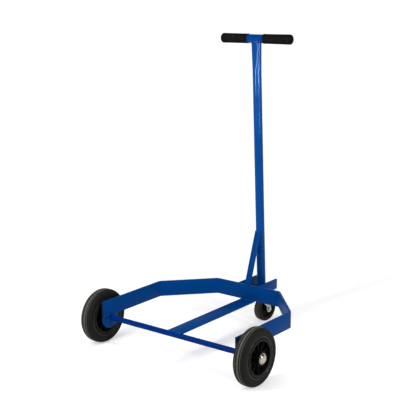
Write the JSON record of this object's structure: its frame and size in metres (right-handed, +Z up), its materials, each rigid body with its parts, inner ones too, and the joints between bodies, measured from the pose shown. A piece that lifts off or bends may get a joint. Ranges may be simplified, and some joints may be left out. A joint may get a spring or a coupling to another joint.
{
  "type": "drum trolley",
  "caption": "Steel trolley with a bent flat-bar cradle for an upright drum, rubber-tyred wheels on a through axle, a rear swivel caster and a leaning pole with a T-bar handle.",
  "frame": {"origin": "on the floor, below the middle of the bounding box", "axes": "+X along the main axle to the right, +Y from the axle towards the handle, +Z up"},
  "size_m": [0.7676, 0.6994, 1.1152],
  "materials": {
    "blue_paint": "gloss powder coat",
    "tyre_rubber": "satin rubber",
    "grip_rubber": "satin soft plastic",
    "rim_plastic": "moulded, satin",
    "cage_nylon": "moulded, natural nylon",
    "bearing_steel": "ground and oiled",
    "zinc_steel": "bright zinc plate",
    "cap_zinc": "bright zinc plate",
    "caster_rubber": "satin rubber",
    "caster_plastic": "moulded, satin"
  },
  "bodies": {
    "frame": {"strap_frame": "blue_paint", "left_axle_lug": "blue_paint", "right_axle_lug": "blue_paint", "axle": "blue_paint", "centre_bar": "blue_paint", "rear_channel": "blue_paint", "handle_pole": "blue_paint", "pole_brace": "blue_paint", "t_bar": "blue_paint", "left_grip": "grip_rubber", "right_grip": "grip_rubber", "left_inner_washer": "zinc_steel", "right_inner_washer": "zinc_steel", "left_outer_washer": "zinc_steel", "right_outer_washer": "zinc_steel", "left_hub_cap": "cap_zinc", "right_hub_cap": "cap_zinc", "caster_plate": "zinc_steel", "kingpin": "zinc_steel", "plate_bolts": "zinc_steel", "plate_nuts": "zinc_steel", "plate_washers": "zinc_steel"},
    "left_wheel": {"left_tyre": "tyre_rubber", "left_wheel_rim": "rim_plastic", "left_roller_cage": "cage_nylon", "left_bearing_rollers": "bearing_steel"},
    "right_wheel": {"right_tyre": "tyre_rubber", "right_wheel_rim": "rim_plastic", "right_roller_cage": "cage_nylon", "right_bearing_rollers": "bearing_steel"},
    "caster_swivel": {"caster_fork": "zinc_steel", "swivel_balls": "bearing_steel", "thrust_ring": "zinc_steel", "caster_axle_sleeve": "bearing_steel", "caster_axle_bolt": "zinc_steel", "caster_axle_nut": "zinc_steel"},
    "caster_wheel": {"caster_tyre": "caster_rubber", "caster_wheel_centre": "caster_plastic"}
  },
  "joints": [
    {"name": "left_wheel_spin", "type": "hinge", "parent": "frame", "child": "left_wheel", "pos_m": [-0.3429, -0.24968, 0.1], "axis": [1, 0, 0], "continuous": true},
    {"name": "right_wheel_spin", "type": "hinge", "parent": "frame", "child": "right_wheel", "pos_m": [0.3429, -0.24968, 0.1], "axis": [1, 0, 0], "continuous": true},
    {"name": "caster_turn", "type": "hinge", "parent": "frame", "child": "caster_swivel", "pos_m": [0, 0.26132, 0.1165], "axis": [0, 0, 1], "continuous": true},
    {"name": "caster_wheel_spin", "type": "hinge", "parent": "caster_swivel", "child": "caster_wheel", "pos_m": [0.00496, 0.299, 0.05], "axis": [0.9914, -0.1305, 0], "continuous": true}
  ]
}
